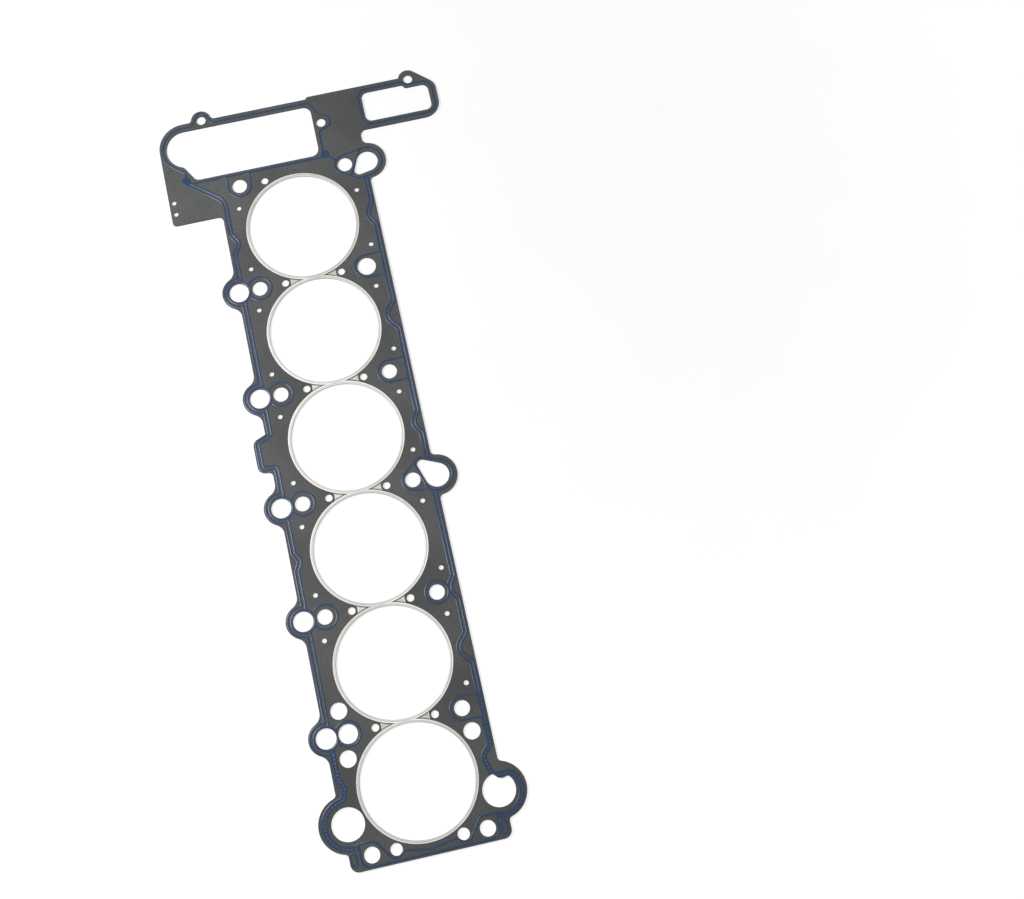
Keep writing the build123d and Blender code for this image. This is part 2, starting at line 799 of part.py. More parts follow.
# Rear lines
half_bead = bead_width / 2
rear_upper = last_row + rear_upper_rise
rear_half_points = [
    (rear_line_half_width + half_bead, rear_upper),
    (bolt_x - rear_upper_corner_inset, rear_upper),
    (bolt_x - rear_dip_inset, last_row - rear_dip_fall),
    (bolt_x - rear_crest_inset, last_row - rear_crest_fall),
]
rear_points = [(-x, y) for x, y in rear_half_points]
rear_points += [(0, last_row - rear_middle_fall)]
rear_points += rear_half_points[::-1]
rear_half_radii = [rear_dip_radius, rear_dip_radius, rear_crest_radius]
rear_low = block_rear + rear_edge_margin
rear_low_points = [
    (-rear_line_half_width, rear_upper),
    (-rear_line_half_width, rear_low),
    (rear_line_half_width, rear_low),
    (rear_line_half_width, rear_upper),
]

# Single lines beside the large window and round the bolts
left_bolt = (-bolt_x, first_row, bolt_hole_radius)
front_bolt = (bolt_x, first_row, bolt_hole_radius)
middle_bolt = (bolt_x, row_y(middle_row), bolt_hole_radius)
front_loop_walls = [drop_loop_margin, front_loop_wall, front_loop_tip_wall]
middle_loop_walls = [drop_loop_margin, middle_loop_wall, middle_loop_tip_wall]
front_loop = looped_bead([front_bolt, *front_drop], front_loop_walls)
middle_loop = looped_bead([middle_bolt, *middle_drop], middle_loop_walls)
front_divider_line = [(front_bolt[0] + x, front_bolt[1] + y) for x, y in front_divider]
middle_divider_line = [(middle_bolt[0] + x, middle_bolt[1] + y) for x, y in middle_divider]
blob_link_line = [(front_bolt[0] + x, front_bolt[1] + y) for x, y in blob_link]
straight_beads = [
    ribbon(front_divider_line, [0], bead_width),
    ribbon(middle_divider_line, [divider_radius], bead_width),
    ribbon(blob_link_line, [0], bead_width),
    ribbon(
        [left_blob, (left_blob[0] + blob_radius, window_line_low), (right_blob[0], window_line_low)],
        [0],
        bead_width,
    ),
]
front_loop_radius = bolt_hole_radius + front_bolt_loop_margin
front_loop_x = left_bolt[0] + front_bolt_loop_shift
front_bolt_loop = ribbon(
    [
        (front_loop_x - front_loop_radius, window_line_low),
        (front_loop_x - front_loop_radius, first_row - front_loop_radius),
        (front_loop_x + front_loop_radius, first_row - front_loop_radius),
        (front_loop_x + front_loop_radius, window_line_low),
    ],
    [front_loop_radius - front_bolt_loop_flat / 2] * 2,
    bead_width,
)
inner_right_line = right_line - bead_spacing / 2
right_loops = [(right_dowel_row, dowel_hole_radius + dowel_loop_margin, inner_right_line)]
right_loops += [(row, bolt_hole_radius + open_loop_margin, inner_right_line) for row in drawn_out_rows]
right_loops += [(round_loop_row, bolt_hole_radius + open_loop_margin, bolt_x)]
oil_spots = [(oil_x, row_y(row)) for row in inner_rows]
oil_inner = oil_hole_radius + oil_loop_margin
oil_outer = oil_hole_radius + oil_outer_loop_margin
bolt_loop_radius = bolt_hole_radius + bolt_loop_margin


def drawn_out_loop(x, y, radius, side_x):
    """Bead round a bolt hole, drawn out in two straight legs to a line of constant x."""
    with BuildSketch() as bead:
        for grown, mode in ((radius + half_bead, Mode.ADD), (radius - half_bead, Mode.SUBTRACT)):
            with Locations((x, y)):
                Circle(grown, mode=mode)
                if side_x > x:
                    Rectangle(side_x - x, 2 * grown, align=(Align.MIN, Align.CENTER), mode=mode)
    return bead.sketch


def outer_oil_loop(x, y):
    """Bead arc on the far side of an oil hole, open towards the bolts."""
    with BuildSketch() as bead:
        with Locations((x, y)):
            Circle(oil_outer + half_bead)
            Circle(oil_outer - half_bead, mode=Mode.SUBTRACT)
        with Locations((left_line - bead_spacing / 2 + half_bead, y)):
            Rectangle(2 * oil_outer, 4 * oil_outer, align=(Align.MAX, Align.CENTER), mode=Mode.INTERSECT)
    return bead.sketch


# Main sealing bead: all lines and loops that run together
with BuildSketch() as main_net:
    for run in double_runs:
        trace(run, line_width=bead_spacing + bead_width)
    for run, ladder_start in zip(double_runs, ladder_starts):
        add(groove(run, ladder_start), mode=Mode.SUBTRACT)
    for x, y in oil_spots:
        with Locations((x, y)):
            Circle(oil_outer + half_bead, mode=Mode.SUBTRACT)
        add(outer_oil_loop(x, y))
        with Locations((left_line + bead_spacing / 2, y)):
            Rectangle(bead_width, 2 * oil_loop_side_reach)
        with Locations((-bolt_x, y)):
            Circle(bolt_loop_radius + half_bead)
            Circle(bolt_loop_radius - half_bead, mode=Mode.SUBTRACT)
        with Locations((x, y)):
            Circle(oil_inner + half_bead)
            Circle(oil_inner - half_bead, mode=Mode.SUBTRACT)
    for row, radius, side_x in right_loops:
        add(drawn_out_loop(bolt_x, row_y(row), radius, side_x))
    for strip in (front_loop, middle_loop, *straight_beads, front_bolt_loop, window_line.sketch):
        add(strip)
    add(ribbon(rear_points, [*rear_half_radii, rear_middle_radius, *rear_half_radii[::-1]], bead_width))
    add(ribbon(rear_low_points, [rear_edge_radius] * 2, bead_width))
    with Locations(left_blob, right_blob):
        Circle(blob_radius)
    for opening in passage_openings:
        add(opening, mode=Mode.SUBTRACT)
    with Locations(*dowel_spots):
        Circle(dowel_hole_radius + bead_edge_margin, mode=Mode.SUBTRACT)

# Case window bead: one closed line round the right-hand window
arm_line_high = arm_high + case_bead_front_wall
arm_line_low = arm_low - case_bead_rear_wall
arm_line_step = arm_high - arm_window_step_depth + case_bead_rear_wall
case_window_line = closed_bead(
    [
        (arm_inner - case_bead_rear_wall, arm_line_high),
        (arm_inner - case_bead_rear_wall, arm_line_low),
        (arm_outer + case_bead_side_wall, arm_line_low),
        (arm_outer + case_bead_side_wall, arm_line_step),
        (right_case_hole[0] - case_bead_step_inset, arm_line_step),
        (right_case_hole[0] - case_bead_step_inset - case_bead_step_slant, arm_line_high),
    ],
    [
        case_bead_inner_radius,
        case_bead_inner_radius,
        case_bead_outer_radius,
        case_bead_outer_radius,
        line_bend_radius,
        line_bend_radius,
    ],
)


def corner_loop(x, side):
    """Small closed bead in a rear corner, its long leg on the side towards the middle."""
    return closed_bead(
        [
            (x + side * corner_bead_half_width, last_row + corner_bead_front_rise),
            (x + side * corner_bead_half_width, last_row - corner_bead_short_fall),
            (x - side * corner_bead_half_width, last_row - corner_bead_long_fall),
            (x - side * corner_bead_half_width, last_row + corner_bead_front_rise),
        ],
        [corner_bead_radius, corner_bead_slant_radius, corner_bead_radius, corner_bead_radius],
    )


bead_faces = {
    "main_bead": main_net.sketch,
    "case_bead": case_window_line,
    "corner_bead_left": corner_loop(-block_half_width + corner_bead_left_inset, -1),
    "corner_bead_right": corner_loop(block_half_width - corner_bead_right_inset, 1),
}
beads = []
for side, base in (("upper", sheet_top), ("lower", sheet_base - bead_height)):
    for bead_name, faces in bead_faces.items():
        with BuildPart() as bead:
            with BuildSketch(Plane.XY.offset(base)):
                add(faces)
            extrude(amount=bead_height)
        bead.part.label = f"{bead_name}_{side}"
        beads.append(bead.part)

os.makedirs("parts", exist_ok=True)
for piece in [gasket_sheet.part, *fire_rings, *bridge_plates, *beads]:
    export_step(piece, f"parts/{piece.label}.step")
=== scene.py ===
"""Looks of the cylinder head gasket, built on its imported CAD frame."""

import logging
from collections.abc import Iterator, Sequence
from dataclasses import dataclass, field
from enum import Enum
from math import cos, hypot, pi, radians, sin

import bmesh
import bpy
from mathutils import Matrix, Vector


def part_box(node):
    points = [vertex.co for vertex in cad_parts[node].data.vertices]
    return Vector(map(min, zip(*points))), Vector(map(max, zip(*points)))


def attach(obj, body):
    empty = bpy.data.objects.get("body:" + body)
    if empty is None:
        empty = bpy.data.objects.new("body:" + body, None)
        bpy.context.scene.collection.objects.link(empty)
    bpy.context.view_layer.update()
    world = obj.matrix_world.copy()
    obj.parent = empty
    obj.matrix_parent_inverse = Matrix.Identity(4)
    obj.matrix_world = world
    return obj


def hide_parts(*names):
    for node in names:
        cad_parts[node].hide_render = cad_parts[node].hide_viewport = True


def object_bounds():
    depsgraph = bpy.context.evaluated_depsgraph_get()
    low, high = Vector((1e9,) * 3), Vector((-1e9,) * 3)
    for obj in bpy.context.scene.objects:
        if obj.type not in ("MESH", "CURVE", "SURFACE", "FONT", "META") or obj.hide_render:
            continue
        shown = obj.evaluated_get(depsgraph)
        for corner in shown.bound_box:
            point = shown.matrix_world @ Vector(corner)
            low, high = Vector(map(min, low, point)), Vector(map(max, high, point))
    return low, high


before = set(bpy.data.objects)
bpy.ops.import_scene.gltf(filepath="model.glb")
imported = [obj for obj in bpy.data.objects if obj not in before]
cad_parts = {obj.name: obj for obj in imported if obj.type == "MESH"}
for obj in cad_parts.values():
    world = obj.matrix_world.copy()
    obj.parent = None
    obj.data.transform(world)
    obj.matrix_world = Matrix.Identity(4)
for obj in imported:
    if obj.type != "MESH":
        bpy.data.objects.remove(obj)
CAD_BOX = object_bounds()

MM = 0.001
BODY = "root"
SHARP_ANGLE = radians(38)
WHITE = (1.0, 1.0, 1.0)
LOGGER = logging.getLogger("gasket")

# The Mix node has a set of sockets for each kind of data, and these are its colour ones.
MIX_FIRST, MIX_SECOND, MIX_RESULT = 6, 7, 2

Colour = tuple[float, float, float]
Socket = bpy.types.NodeSocket
Feed = Socket | float | Colour
SectionPoint = tuple[float, float]


class Sum(Enum):
    """Arithmetic that the finishes use, by its name in the shader editor."""

    ADD = "ADD"
    SUBTRACT = "SUBTRACT"
    MULTIPLY = "MULTIPLY"
    DIVIDE = "DIVIDE"
    ROUND = "ROUND"
    MAXIMUM = "MAXIMUM"
    MINIMUM = "MINIMUM"
    ROOT = "SQRT"
    SIZE = "ABSOLUTE"
    TURN = "ARCTAN2"


class Face(Enum):
    """Side of the sheet that a bead is printed on, by the sign of its outward direction."""

    UPPER = 1
    LOWER = -1


class Wiring:
    """One shader node tree and the short calls that fill it."""

    def __init__(self, tree: bpy.types.NodeTree) -> None:
        """Keep the tree that the calls fill."""
        self.tree = tree

    def add(self, kind: str, **settings: object) -> bpy.types.Node:
        """Add one node.

        Args:
            kind: Node type without its leading "ShaderNode".
            settings: Properties of the node.

        Returns:
            The new node.
        """
        node = self.tree.nodes.new(f"ShaderNode{kind}")
        for name, value in settings.items():
            setattr(node, name, value)
        return node

    def feed(self, socket: Socket, value: Feed) -> None:
        """Link a socket, or set it where the value is a constant.

        Args:
            socket: Input to fill.
            value: Output socket, number or colour.
        """
        if isinstance(value, Socket):
            self.tree.links.new(value, socket)
        elif isinstance(value, tuple) and len(socket.default_value) == 4:
            socket.default_value = (*value, 1.0)
        else:
            socket.default_value = value

    def sum(self, kind: Sum, first: Feed, second: Feed = 0.0) -> Socket:
        """Work out one sum of two values.

        Args:
            kind: Arithmetic to do.
            first: First value.
            second: Second value, where the arithmetic has one.

        Returns:
            Socket of the result.
        """
        node = self.add("Math", operation=kind.value)
        self.feed(node.inputs[0], first)
        self.feed(node.inputs[1], second)
        return node.outputs[0]

    def ease(self, value: Feed, start: Feed, end: Feed) -> Socket:
        """Turn a value into a mask that rises smoothly from 0 to 1.

        Args:
            value: Value to look at.
            start: Value at which the mask is 0.
            end: Value at which the mask is 1.

        Returns:
            Socket of the mask.
        """
        node = self.add("MapRange", interpolation_type="SMOOTHSTEP", clamp=True)
        self.feed(node.inputs["Value"], value)
        self.feed(node.inputs["From Min"], start)
        self.feed(node.inputs["From Max"], end)
        return node.outputs["Result"]

    def between(self, value: Feed, low: float, high: float) -> Socket:
        """Stretch a mask between two values.

        Args:
            value: Mask from 0 to 1.
            low: Result where the mask is 0.
            high: Result where the mask is 1.

        Returns:
            Socket of the result.
        """
        node = self.add("MapRange", clamp=True)
        self.feed(node.inputs["Value"], value)
        self.feed(node.inputs["To Min"], low)
        self.feed(node.inputs["To Max"], high)
        return node.outputs["Result"]

    def blend(self, mask: Feed, first: Feed, second: Feed) -> Socket:
        """Blend two colours.

        Args:
            mask: 0 for the first colour, 1 for the second.
            first: First colour.
            second: Second colour.

        Returns:
            Socket of the blended colour.
        """
        node = self.add("Mix", data_type="RGBA")
        self.feed(node.inputs["Factor"], mask)
        self.feed(node.inputs[MIX_FIRST], first)
        self.feed(node.inputs[MIX_SECOND], second)
        return node.outputs[MIX_RESULT]

    def coat(self, under: Feed, over: Feed, mask: Feed, strength: float) -> Socket:
        """Lay one colour over another.

        Args:
            under: Colour that is there.
            over: Colour laid over it.
            mask: 1 where it lies, 0 elsewhere.
            strength: Share of the new colour where the mask is 1.

        Returns:
            Socket of the coated colour.
        """
        return self.blend(self.between(mask, 0.0, strength), under, over)

    def noise(self, place: Socket, scale: Feed, detail: float = 2.0) -> Socket:
        """Add soft noise.

        Args:
            place: Socket of the point to look at.
            scale: Number of lumps per unit of length.
            detail: Number of finer layers.

        Returns:
            Socket of the noise, about 0.5 on average.
        """
        node = self.add("TexNoise")
        self.feed(node.inputs["Vector"], place)
        self.feed(node.inputs["Scale"], scale)
        self.feed(node.inputs["Detail"], detail)
        return node.outputs["Fac"]

    def own_place(self) -> Socket:
        """Return the socket of the point's place in the part's own frame."""
        return self.add("TexCoord").outputs["Object"]

    def own_axes(self) -> tuple[Socket, Socket, Socket]:
        """Split the point's place in the part's own frame.

        Returns:
            Sockets of its three coordinates.
        """
        node = self.add("SeparateXYZ")
        self.feed(node.inputs["Vector"], self.own_place())
        return node.outputs["X"], node.outputs["Y"], node.outputs["Z"]

    def flat_length(self, across: Feed, along: Feed) -> Socket:
        """Work out the length of a flat line.

        Args:
            across: Its reach along X.
            along: Its reach along Y.

        Returns:
            Socket of the length.
        """
        squares = [self.sum(Sum.MULTIPLY, side, side) for side in (across, along)]
        return self.sum(Sum.ROOT, self.sum(Sum.ADD, *squares))

    def effect(self, group: bpy.types.NodeTree, **values: Feed) -> bpy.types.Node:
        """Place a shared effect in this tree.

        Args:
            group: Node group of the effect.
            values: Its inputs, with underscores for spaces.

        Returns:
            The placed node.
        """
        node = self.add("Group", node_tree=group)
        for name, value in values.items():
            self.feed(node.inputs[name.replace("_", " ")], value)
        return node


@dataclass(frozen=True)
class Effect:
    """A shader node group that several finishes share."""

    name: str
    inputs: tuple[str, ...]
    outputs: tuple[str, ...]

    def tree(self) -> bpy.types.NodeTree:
        """Build the effect's node group, or fetch it where it has been built.

        Returns:
            The node group.
        """
        made = bpy.data.node_groups.get(self.name)
        if made:
            return made
        made = bpy.data.node_groups.new(self.name, "ShaderNodeTree")
        for name in self.inputs:
            made.interface.new_socket(name=name, in_out="INPUT", socket_type="NodeSocketFloat")
        for name in self.outputs:
            made.interface.new_socket(name=name, in_out="OUTPUT", socket_type="NodeSocketFloat")
        wiring = Wiring(made)
        given = made.nodes.new("NodeGroupInput").outputs
        wanted = made.nodes.new("NodeGroupOutput").inputs
        for name, result in zip(self.outputs, self.wire(wiring, given)):
            wiring.feed(wanted[name], result)
        return made

    def wire(self, wiring: Wiring, given: bpy.types.NodeOutputs) -> Sequence[Socket]:
        """Fill the group; each effect has its own way."""
        raise NotImplementedError


@dataclass(frozen=True)
class Mottle(Effect):
    """Fine grain over larger soft patches."""

    name: str = "mottle"
    inputs: tuple[str, ...] = ("Grain Size", "Patch Size", "Grain Share")
    outputs: tuple[str, ...] = ("Tone", "Grain")
    detail: float = 3.0
    low: float = 0.3
    high: float = 0.7

    def wire(self, wiring: Wiring, given: bpy.types.NodeOutputs) -> Sequence[Socket]:
        """Fill the group.

        Args:
            wiring: Tree to fill.
            given: Inputs of the group.

        Returns:
            Sockets of the tone and of the grain alone.
        """
        place = wiring.own_place()
        layers = []
        for size in (given["Grain Size"], given["Patch Size"]):
            scale = wiring.sum(Sum.DIVIDE, 1.0, size)
            noise = wiring.noise(place, scale, self.detail)
            layers.append(wiring.ease(noise, self.low, self.high))
        grain, patch = layers
        difference = wiring.sum(Sum.SUBTRACT, grain, patch)
        share = wiring.sum(Sum.MULTIPLY, difference, given["Grain Share"])
        return wiring.sum(Sum.ADD, patch, share), grain


@dataclass(frozen=True)
class Specks(Effect):
    """Scattered small spots."""

    name: str = "specks"
    inputs: tuple[str, ...] = ("Spot Size", "Threshold")
    outputs: tuple[str, ...] = ("Mask",)
    detail: float = 0.0
    softness: float = 0.05

    def wire(self, wiring: Wiring, given: bpy.types.NodeOutputs) -> Sequence[Socket]:
        """Fill the group.

        Args:
            wiring: Tree to fill.
            given: Inputs of the group.

        Returns:
            Socket of the mask of the spots.
        """
        scale = wiring.sum(Sum.DIVIDE, 1.0, given["Spot Size"])
        noise = wiring.noise(wiring.own_place(), scale, self.detail)
        end = wiring.sum(Sum.ADD, given["Threshold"], self.softness)
        return [wiring.ease(noise, given["Threshold"], end)]


@dataclass(frozen=True)
class BoreReach(Effect):
    """Distance from the axis of the nearest cylinder, and the turn round it."""

    name: str = "bore_reach"
    inputs: tuple[str, ...] = ("Bore Pitch", "Last Bore")
    outputs: tuple[str, ...] = ("Radius", "Turn")

    def wire(self, wiring: Wiring, given: bpy.types.NodeOutputs) -> Sequence[Socket]:
        """Fill the group.

        Args:
            wiring: Tree to fill.
            given: Inputs of the group.

        Returns:
            Sockets of the radius in metres and of the turn in radians.
        """
        across, along, _ = wiring.own_axes()
        behind = wiring.sum(Sum.MULTIPLY, along, -1.0)
        number = wiring.sum(Sum.ROUND, wiring.sum(Sum.DIVIDE, behind, given["Bore Pitch"]))
        number = wiring.sum(Sum.MAXIMUM, number, 0.0)
        number = wiring.sum(Sum.MINIMUM, number, given["Last Bore"])
        axis = wiring.sum(Sum.MULTIPLY, number, given["Bore Pitch"])
        offset = wiring.sum(Sum.ADD, along, axis)
        return wiring.flat_length(across, offset), wiring.sum(Sum.TURN, offset, across)


@dataclass(frozen=True)
class RollingStreaks(Effect):
    """Long fine streaks, drawn out along one way."""

    name: str = "rolling_streaks"
    inputs: tuple[str, ...] = ("Along", "Across", "Streak Length", "Streak Width")
    outputs: tuple[str, ...] = ("Streak",)
    detail: float = 3.0
    low: float = 0.3
    high: float = 0.7

    def wire(self, wiring: Wiring, given: bpy.types.NodeOutputs) -> Sequence[Socket]:
        """Fill the group.

        Args:
            wiring: Tree to fill.
            given: Inputs of the group.

        Returns:
            Socket of the streaks, from 0 to 1.
        """
        point = wiring.add("CombineXYZ")
        for axis, way, size in (("X", "Along", "Streak Length"), ("Y", "Across", "Streak Width")):
            wiring.feed(point.inputs[axis], wiring.sum(Sum.DIVIDE, given[way], given[size]))
        noise = wiring.noise(point.outputs["Vector"], 1.0, self.detail)
        return [wiring.ease(noise, self.low, self.high)]


@dataclass(frozen=True)
class Wall(Effect):
    """Mask of the cut edges, which stand upright."""

    name: str = "wall"
    inputs: tuple[str, ...] = ("Flatness",)
    outputs: tuple[str, ...] = ("Mask",)
    upright: float = 0.1

    def wire(self, wiring: Wiring, given: bpy.types.NodeOutputs) -> Sequence[Socket]:
        """Fill the group.

        Args:
            wiring: Tree to fill.
            given: Inputs of the group.

        Returns:
            Socket of the mask, 1 on upright faces.
        """
        split = wiring.add("SeparateXYZ")
        wiring.feed(split.inputs["Vector"], wiring.add("NewGeometry").outputs["True Normal"])
        lift = wiring.sum(Sum.SIZE, split.outputs["Z"])
        return [wiring.ease(lift, given["Flatness"], self.upright)]


@dataclass(frozen=True)
class Engine:
    """Sizes of the cylinder row, read from the fire rings of the frame."""

    count: int
    pitch: float
    bore_radius: float
    flange_radius: float
    base: float
    top: float

    @classmethod
    def from_frame(cls) -> "Engine":
        """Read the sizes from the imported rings.

        Returns:
            The cylinder row.
        """
        names = [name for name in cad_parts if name.startswith("fire_ring_")]
        # Rings 2 and 3 are trimmed alike at both ends, so their boxes are centred on their axes.
        low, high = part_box("fire_ring_2")
        next_low, next_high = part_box("fire_ring_3")
        axis = (low + high) / 2
        pitch = axis.y - (next_low.y + next_high.y) / 2
        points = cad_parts["fire_ring_2"].data.vertices
        bore_radius = min(hypot(point.co.x - axis.x, point.co.y - axis.y) for point in points)
        return cls(len(names), pitch, bore_radius, (high.x - low.x) / 2, low.z, high.z)

    @property
    def middle(self) -> float:
        """Return the height of the middle of the part's thickness."""
        return (self.base + self.top) / 2

    @property
    def half_height(self) -> float:
        """Return half the thickness over the rings."""
        return (self.top - self.base) / 2

    @property
    def flange_reach(self) -> float:
        """Return the width of an untrimmed ring, from its bore wall to its edge."""
        return self.flange_radius - self.bore_radius

    def axis_y(self, number: int) -> float:
        """Return the place along the row of a cylinder's axis, counted from 1."""
        return -self.pitch * (number - 1)


ENGINE = Engine.from_frame()


@dataclass(frozen=True)
class Finish:
    """A surface finish, as one procedural material."""

    name: str

    def material(self) -> bpy.types.Material:
        """Build the finish's material, or fetch it where it has been built.

        Returns:
            The material.
        """
        made = bpy.data.materials.get(self.name)
        if made:
            return made
        made = bpy.data.materials.new(self.name)
        made.use_nodes = True
        wiring = Wiring(made.node_tree)
        self.paint(wiring, made.node_tree.nodes["Principled BSDF"])
        return made

    def paint(self, wiring: Wiring, shader: bpy.types.Node) -> None:
        """Fill the material; each finish has its own way."""
        raise NotImplementedError

    @staticmethod
    def emboss(
        wiring: Wiring, shader: bpy.types.Node, height: Socket, depth: float, strength: float
    ) -> None:
        """Let a height map bend the light on the surface.

        Args:
            wiring: Tree of the material.
            shader: Its Principled shader.
            height: Socket of the height, from 0 to 1.
            depth: Depth of the relief in metres.
            strength: Share of the relief that shows.
        """
        bump = wiring.add("Bump")
        bump.inputs["Strength"].default_value = strength
        bump.inputs["Distance"].default_value = depth
        wiring.feed(bump.inputs["Height"], height)
        wiring.feed(shader.inputs["Normal"], bump.outputs["Normal"])

    @staticmethod
    def bore_reach(wiring: Wiring) -> tuple[Socket, Socket]:
        """Place the nearest-cylinder effect.

        Args:
            wiring: Tree of the material.

        Returns:
            Sockets of the radius and of the turn.
        """
        node = wiring.effect(
            BoreReach().tree(), Bore_Pitch=ENGINE.pitch, Last_Bore=ENGINE.count - 1.0
        )
        return node.outputs["Radius"], node.outputs["Turn"]


@dataclass(frozen=True)
class FacingFinish(Finish):
    """Dark grey fibre facing, mottled and specked, with a dark brown rim round each fire ring that
    is partly real browning and partly painted shade.
    """

    name: str = "grey_fibre_facing"
    dark: Colour = (0.047, 0.050, 0.050)
    light: Colour = (0.122, 0.124, 0.122)
    speck: Colour = (0.036, 0.038, 0.040)
    # Rim colour: partly real browning, partly painted shade where each ring's flange steps down to
    # the sheet.
    rim: Colour = (0.105, 0.080, 0.060)
    cut_edge: Colour = (0.060, 0.061, 0.062)
    grain_size: float = 0.9 * MM
    patch_size: float = 60.0 * MM
    grain_share: float = 0.6
    speck_size: float = 2.0 * MM
    speck_threshold: float = 0.69
    speck_strength: float = 0.4
    rim_width: float = 0.45 * MM
    rim_fade: float = 0.5
    rim_strength: float = 0.65
    flatness: float = 0.6
    smooth: float = 0.62
    rough: float = 0.8
    gloss: float = 0.3
    relief_depth: float = 0.05 * MM
    relief_strength: float = 0.5

    def paint(self, wiring: Wiring, shader: bpy.types.Node) -> None:
        """Fill the material.

        Args:
            wiring: Tree of the material.
            shader: Its Principled shader.
        """
        mottle = wiring.effect(
            Mottle().tree(),
            Grain_Size=self.grain_size,
            Patch_Size=self.patch_size,
            Grain_Share=self.grain_share,
        )
        specks = wiring.effect(
            Specks().tree(), Spot_Size=self.speck_size, Threshold=self.speck_threshold
        )
        wall = wiring.effect(Wall().tree(), Flatness=self.flatness)
        radius, _ = self.bore_reach(wiring)
        rim_end = ENGINE.flange_radius + self.rim_width
        rim_shade_and_brown_mask = wiring.ease(radius, rim_end + self.rim_fade * self.rim_width, rim_end)
        colour = wiring.blend(mottle.outputs["Tone"], self.dark, self.light)
        colour = wiring.coat(colour, self.speck, specks.outputs["Mask"], self.speck_strength)
        # Painted shade and real browning in a band just outside each ring's flange.
        colour = wiring.coat(colour, self.rim, rim_shade_and_brown_mask, self.rim_strength)
        colour = wiring.blend(wall.outputs["Mask"], colour, self.cut_edge)
        grain = mottle.outputs["Grain"]
        wiring.feed(shader.inputs["Base Color"], colour)
        wiring.feed(shader.inputs["Roughness"], wiring.between(grain, self.smooth, self.rough))
        shader.inputs["Specular IOR Level"].default_value = self.gloss
        self.emboss(wiring, shader, grain, self.relief_depth, self.relief_strength)


@dataclass(frozen=True)
class RingSteelFinish(Finish):
    """Bright folded sheet with a paler flange, painted shade that darkens the fold and the step
    next to the flange, and a brown line along the trimmed edge that is partly real browning and
    partly painted shade.
    """

    name: str = "bright_ring_steel"
    # Fold colour: the steel's own colour, darkened as painted shade on the curve of the fold.
    fold: Colour = (0.47, 0.49, 0.475)
    # Step colour: painted shade along the step between the fold and the flange.
    step: Colour = (0.39, 0.395, 0.38)
    flange: Colour = (0.66, 0.65, 0.62)
    # Edge colour: partly real browning, partly painted shade along the flange's trimmed edge.
    edge: Colour = (0.20, 0.17, 0.14)
    stain: Colour = (0.34, 0.33, 0.305)
    step_offset: float = 1.4 * MM
    step_width: float = 0.5 * MM
    step_strength: float = 0.85
    edge_width: float = 0.2 * MM
    edge_strength: float = 0.9
    streak_length: float = 30.0 * MM
    streak_width: float = 0.5 * MM
    streak_floor: float = 0.7
    stain_strength: float = 0.7
    grain_size: float = 6.0 * MM
    patch_size: float = 55.0 * MM
    grain_share: float = 0.25
    smooth: float = 0.55
    rough: float = 0.75
    relief_depth: float = 0.02 * MM
    relief_strength: float = 0.1

    def paint(self, wiring: Wiring, shader: bpy.types.Node) -> None:
        """Fill the material.

        Args:
            wiring: Tree of the material.
            shader: Its Principled shader.
        """
        radius, turn = self.bore_reach(wiring)
        step_radius = ENGINE.bore_radius + self.step_offset
        flange_mask = wiring.ease(
            radius, step_radius - self.step_width, step_radius + self.step_width
        )
        from_step = wiring.sum(Sum.SIZE, wiring.sum(Sum.SUBTRACT, radius, step_radius))
        step_mask = wiring.ease(from_step, self.step_width, 0.0)
        edge_start = ENGINE.flange_radius - 2 * self.edge_width
        edge_shade_and_brown_mask = wiring.ease(radius, edge_start, edge_start + self.edge_width)
        around = wiring.sum(Sum.MULTIPLY, turn, ENGINE.bore_radius)
        streaks = wiring.effect(
            RollingStreaks().tree(),
            Along=around,
            Across=radius,
            Streak_Length=self.streak_length,
            Streak_Width=self.streak_width,
        )
        patches = wiring.effect(
            Mottle().tree(),
            Grain_Size=self.grain_size,
            Patch_Size=self.patch_size,
            Grain_Share=self.grain_share,
        )
        tone = patches.outputs["Tone"]
        streaked = wiring.between(streaks.outputs["Streak"], self.streak_floor, 1.0)
        stain_mask = wiring.sum(Sum.MULTIPLY, streaked, tone)
        # Painted shade: the fold is darker than the flange, and the step between them is darker
        # still.
        colour = wiring.blend(flange_mask, self.fold, self.flange)
        colour = wiring.coat(colour, self.step, step_mask, self.step_strength)
        colour = wiring.coat(colour, self.stain, stain_mask, self.stain_strength)
        # Painted shade and real browning along the trimmed edge of the flange.
        colour = wiring.coat(colour, self.edge, edge_shade_and_brown_mask, self.edge_strength)
        wiring.feed(shader.inputs["Base Color"], colour)
        shader.inputs["Metallic"].default_value = 1.0
        wiring.feed(shader.inputs["Roughness"], wiring.between(step_mask, self.smooth, self.rough))
        self.emboss(wiring, shader, tone, self.relief_depth, self.relief_strength)


